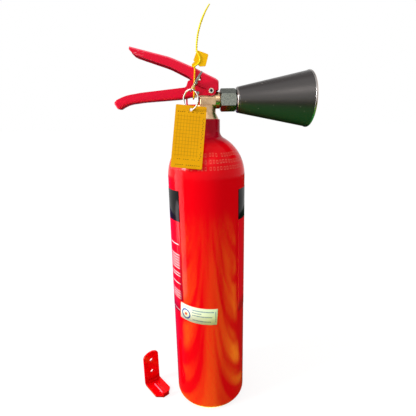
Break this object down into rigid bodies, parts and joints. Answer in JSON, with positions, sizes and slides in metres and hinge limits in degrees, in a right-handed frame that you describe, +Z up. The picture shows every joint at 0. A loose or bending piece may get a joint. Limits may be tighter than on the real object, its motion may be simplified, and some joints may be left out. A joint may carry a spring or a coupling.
{
  "type": "fire extinguisher",
  "caption": "Portable gas fire extinguisher: round red cylinder, brass valve with squeeze lever and carrying handle, straight cone horn, safety pin, tag and loose wall bracket.",
  "frame": {"origin": "centre of the cylinder's foot, on the floor", "axes": "+Z up along the cylinder's axis, +X along the discharge horn, -X along both handles, -Y the side that carries the tag and the safety pin's ring"},
  "size_m": [0.2601, 0.1091, 0.5688],
  "materials": {
    "red_enamel": "gloss",
    "label_film": "satin print",
    "sticker_film": "satin",
    "brass": "satin forged",
    "seat_nylon": "plain",
    "spring_steel": "bright",
    "aluminium_tube": "drawn",
    "steel": "ground",
    "rubber": "plain",
    "nickel": "plated",
    "red_powder_coat": "satin powder coat",
    "zinc_plate": "zinc plated",
    "chrome_wire": "bright",
    "amber_plastic": "satin",
    "yellow_plastic": "moulded",
    "spun_aluminium": "spun",
    "horn_plastic": "moulded"
  },
  "bodies": {
    "cylinder": {"cylinder_shell": "red_enamel", "wraparound_label": "label_film", "inspection_sticker": "sticker_film", "valve_body": "brass", "valve_seat": "seat_nylon", "poppet_spring": "spring_steel", "spring_retainer": "brass", "dip_tube": "aluminium_tube", "stem_o_ring": "rubber", "stem_gland": "brass", "burst_disc": "nickel", "burst_washer": "seat_nylon", "burst_plug": "nickel", "carrying_handle": "red_powder_coat", "fixing_rivet": "zinc_plate", "pivot_rivet": "zinc_plate", "hanger_loop": "red_powder_coat", "tamper_seal": "yellow_plastic", "outlet_adapter": "brass", "swivel_washer": "seat_nylon", "coupling_nut": "zinc_plate"},
    "lever": {"squeeze_lever": "red_powder_coat"},
    "stem": {"valve_stem": "steel", "poppet": "brass", "poppet_seal": "seat_nylon"},
    "horn": {"swivel_stub": "brass", "discharge_nozzle": "brass", "horn_collar": "spun_aluminium", "horn_cone": "horn_plastic", "horn_rim": "spun_aluminium"},
    "pin": {"safety_pin": "chrome_wire"},
    "pull_ring": {"pull_ring": "chrome_wire"},
    "key_ring": {"key_ring": "chrome_wire"},
    "tag": {"inspection_tag": "amber_plastic"},
    "bracket": {"wall_bracket": "red_powder_coat"}
  },
  "joints": [
    {"name": "lever_squeeze", "type": "hinge", "parent": "cylinder", "child": "lever", "pos_m": [0.008, 0, 0.4685], "axis": [0, -1, 0], "range_deg": [0, 20], "stiffness_Nm_per_rad": 0.6, "springref_deg": -17.19},
    {"name": "stem_press", "type": "slide", "parent": "cylinder", "child": "stem", "axis": [0, 0, -1], "range_m": [0, 0.005], "deforming": ["poppet_spring"]},
    {"name": "horn_turn", "type": "hinge", "parent": "cylinder", "child": "horn", "pos_m": [0.0414, 0, 0.4575], "axis": [1, 0, 0], "continuous": true},
    {"name": "pin_pull", "type": "slide", "parent": "cylinder", "child": "pin", "axis": [0, -1, 0], "range_m": [0, 0.045]},
    {"name": "pull_ring_swing", "type": "hinge", "parent": "pin", "child": "pull_ring", "pos_m": [-0.012, -0.017, 0.4775], "axis": [-0.5446, 0, -0.8387], "range_deg": [0, 40]},
    {"name": "key_ring_swing", "type": "hinge", "parent": "pull_ring", "child": "key_ring", "pos_m": [-0.01919, -0.0302, 0.46643], "axis": [0, 1, 0], "range_deg": [-10, 15]},
    {"name": "tag_swing", "type": "hinge", "parent": "key_ring", "child": "tag", "pos_m": [-0.01919, -0.0302, 0.44473], "axis": [0.7431, -0.6691, 0], "range_deg": [-40, 0]},
    {"name": "bracket_lift", "type": "slide", "parent": "cylinder", "child": "bracket", "axis": [0, 0, 1], "range_m": [0, 0.1]}
  ],
  "couplings": [
    {"joint": "stem_press", "follows": "lever_squeeze", "m_per_rad": 0.0143}
  ]
}
